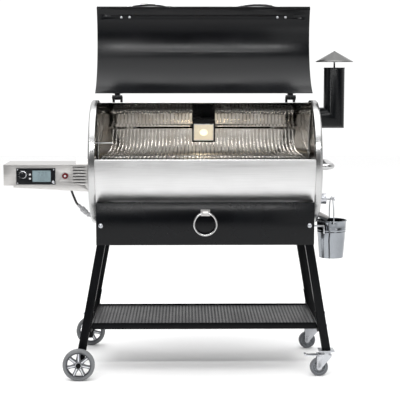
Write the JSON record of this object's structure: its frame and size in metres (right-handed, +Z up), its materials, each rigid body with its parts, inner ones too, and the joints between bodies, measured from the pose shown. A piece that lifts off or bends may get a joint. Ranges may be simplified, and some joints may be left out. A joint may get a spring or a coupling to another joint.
{
  "type": "pellet smoker grill",
  "caption": "Barrel pellet grill on a wheeled cart: arched lid raised, rod grates, side control box, chimney, rear hopper, hanging grease bucket.",
  "frame": {"origin": "under the middle of the object's box, on the floor", "axes": "+Z up, +X towards the chimney end, +Y towards the hopper at the back"},
  "size_m": [1.565, 0.869, 1.6644],
  "materials": {
    "stainless": "brushed",
    "black_paint": "semi gloss",
    "black_mesh": "satin",
    "zinc": "satin",
    "grate_steel": "satin",
    "pan_steel": "satin",
    "fire_steel": "heat stained",
    "motor_black": "satin",
    "lamp_glass": "clear",
    "bezel_plastic": "satin",
    "display_glass": "gloss",
    "key_plastic": "satin",
    "button_red": "gloss",
    "cable_rubber": "matte",
    "plug_plastic": "satin",
    "cap_metal": "satin metallic",
    "bucket_steel": "satin",
    "wheel_alloy": "satin",
    "caster_grey": "satin"
  },
  "bodies": {
    "cart": {"barrel_shell": "stainless", "end_cap_left": "stainless", "end_cap_right": "stainless", "front_panel": "black_paint", "rear_panel": "black_paint", "side_panels": "black_paint", "legs_left": "black_paint", "legs_right": "black_paint", "shelf_frame": "black_paint", "shelf_deck": "black_mesh", "frame_bolts": "zinc", "grate_ledges": "stainless", "drip_pan": "pan_steel", "heat_deflector": "pan_steel", "fire_pot": "fire_steel", "igniter_rod": "zinc", "auger_tube": "fire_steel", "auger_motor": "motor_black", "hopper_case": "black_paint", "fan_housing": "motor_black", "lamp_housing": "black_paint", "lamp_glass": "lamp_glass", "temperature_probe": "zinc", "control_box": "stainless", "control_bezel": "bezel_plastic", "display": "display_glass", "harness_cable": "cable_rubber", "harness_plug": "plug_plastic", "chimney": "black_paint", "push_handle": "stainless", "bucket_hook": "zinc", "drain_spout": "stainless", "ring_bracket": "stainless", "hinge_brackets": "black_paint", "caster_plates": "zinc"},
    "lid": {"lid": "black_paint", "lid_handles": "stainless", "lid_hinges": "black_paint"},
    "grate_left": {"grate_left": "grate_steel"},
    "grate_centre": {"grate_centre": "grate_steel"},
    "grate_right": {"grate_right": "grate_steel"},
    "auger": {"auger": "zinc"},
    "hopper_lid": {"hopper_lid": "black_paint"},
    "hopper_hatch": {"hopper_hatch": "zinc"},
    "fan_impeller": {"fan_impeller": "motor_black"},
    "control_knob": {"control_knob": "bezel_plastic"},
    "key_upper": {"key_upper": "key_plastic"},
    "key_lower": {"key_lower": "key_plastic"},
    "power_button": {"power_button": "button_red"},
    "chimney_cap": {"chimney_cap": "cap_metal"},
    "bucket_bail": {"bucket_bail": "zinc"},
    "bucket": {"bucket": "bucket_steel"},
    "pull_ring": {"pull_ring": "stainless"},
    "wheel_front": {"wheel_front": "wheel_alloy"},
    "wheel_rear": {"wheel_rear": "wheel_alloy"},
    "caster_fork_front": {"caster_fork_front": "zinc"},
    "caster_fork_rear": {"caster_fork_rear": "zinc"},
    "caster_wheel_front": {"caster_wheel_front": "caster_grey"},
    "caster_wheel_rear": {"caster_wheel_rear": "caster_grey"},
    "brake_lever": {"brake_lever": "zinc"}
  },
  "joints": [
    {"name": "lid_hinge", "type": "hinge", "parent": "cart", "child": "lid", "pos_m": [0.0985, -0.0023, 1.21765], "axis": [1, 0, 0], "range_deg": [0, 144]},
    {"name": "grate_left_lift", "type": "slide", "parent": "cart", "child": "grate_left", "axis": [0, 0, 1], "range_m": [0, 0.06]},
    {"name": "grate_centre_lift", "type": "slide", "parent": "cart", "child": "grate_centre", "axis": [0, 0, 1], "range_m": [0, 0.06]},
    {"name": "grate_right_lift", "type": "slide", "parent": "cart", "child": "grate_right", "axis": [0, 0, 1], "range_m": [0, 0.06]},
    {"name": "auger_spin", "type": "hinge", "parent": "cart", "child": "auger", "pos_m": [0.0985, 0.2125, 0.712], "axis": [0, 1, 0], "continuous": true},
    {"name": "hopper_lid_hinge", "type": "hinge", "parent": "cart", "child": "hopper_lid", "pos_m": [0.0985, 0.4255, 1.136], "axis": [1, 0, 0], "range_deg": [-100, 0]},
    {"name": "hopper_hatch_slide", "type": "slide", "parent": "cart", "child": "hopper_hatch", "axis": [0, 0, 1], "range_m": [0, 0.065]},
    {"name": "fan_spin", "type": "hinge", "parent": "cart", "child": "fan_impeller", "pos_m": [-0.0315, 0.3125, 0.682], "axis": [0, 0, 1], "continuous": true},
    {"name": "knob_turn", "type": "hinge", "parent": "cart", "child": "control_knob", "pos_m": [-0.6975, -0.2975, 0.89], "axis": [0, 1, 0], "continuous": true},
    {"name": "key_upper_press", "type": "slide", "parent": "cart", "child": "key_upper", "axis": [0, 1, 0], "range_m": [0, 0.0012], "stiffness_N_per_m": 400},
    {"name": "key_lower_press", "type": "slide", "parent": "cart", "child": "key_lower", "axis": [0, 1, 0], "range_m": [0, 0.0012], "stiffness_N_per_m": 400},
    {"name": "power_button_press", "type": "slide", "parent": "cart", "child": "power_button", "axis": [0, 1, 0], "range_m": [0, 0.004], "stiffness_N_per_m": 500},
    {"name": "chimney_cap_height", "type": "slide", "parent": "cart", "child": "chimney_cap", "axis": [0, 0, 1], "range_m": [-0.02, 0.03]},
    {"name": "bail_swing", "type": "hinge", "parent": "cart", "child": "bucket_bail", "pos_m": [0.6815, -0.0875, 0.759], "axis": [1, 0, 0], "range_deg": [-12, 12]},
    {"name": "bucket_swing", "type": "hinge", "parent": "bucket_bail", "child": "bucket", "pos_m": [0.6815, -0.0875, 0.65], "axis": [0, 1, 0], "range_deg": [-12, 7]},
    {"name": "ring_swing", "type": "hinge", "parent": "cart", "child": "pull_ring", "pos_m": [0.0985, -0.369, 0.72975], "axis": [1, 0, 0], "range_deg": [-95, 0]},
    {"name": "wheel_front_spin", "type": "hinge", "parent": "cart", "child": "wheel_front", "pos_m": [-0.4532, -0.4105, 0.07], "axis": [0, 1, 0], "continuous": true},
    {"name": "wheel_rear_spin", "type": "hinge", "parent": "cart", "child": "wheel_rear", "pos_m": [-0.4532, 0.2355, 0.07], "axis": [0, 1, 0], "continuous": true},
    {"name": "caster_front_swivel", "type": "hinge", "parent": "cart", "child": "caster_fork_front", "pos_m": [0.63295, -0.3385, 0.105], "axis": [0, 0, 1], "continuous": true},
    {"name": "caster_front_roll", "type": "hinge", "parent": "caster_fork_front", "child": "caster_wheel_front", "pos_m": [0.60195, -0.3385, 0.04], "axis": [0, 1, 0], "continuous": true},
    {"name": "caster_rear_swivel", "type": "hinge", "parent": "cart", "child": "caster_fork_rear", "pos_m": [0.63295, 0.1635, 0.105], "axis": [0, 0, 1], "continuous": true},
    {"name": "caster_rear_roll", "type": "hinge", "parent": "caster_fork_rear", "child": "caster_wheel_rear", "pos_m": [0.60195, 0.1635, 0.04], "axis": [0, 1, 0], "continuous": true},
    {"name": "brake_lever_press", "type": "hinge", "parent": "caster_fork_front", "child": "brake_lever", "pos_m": [0.59895, -0.3385, 0.092], "axis": [0, 1, 0], "range_deg": [-12, 0]}
  ]
}
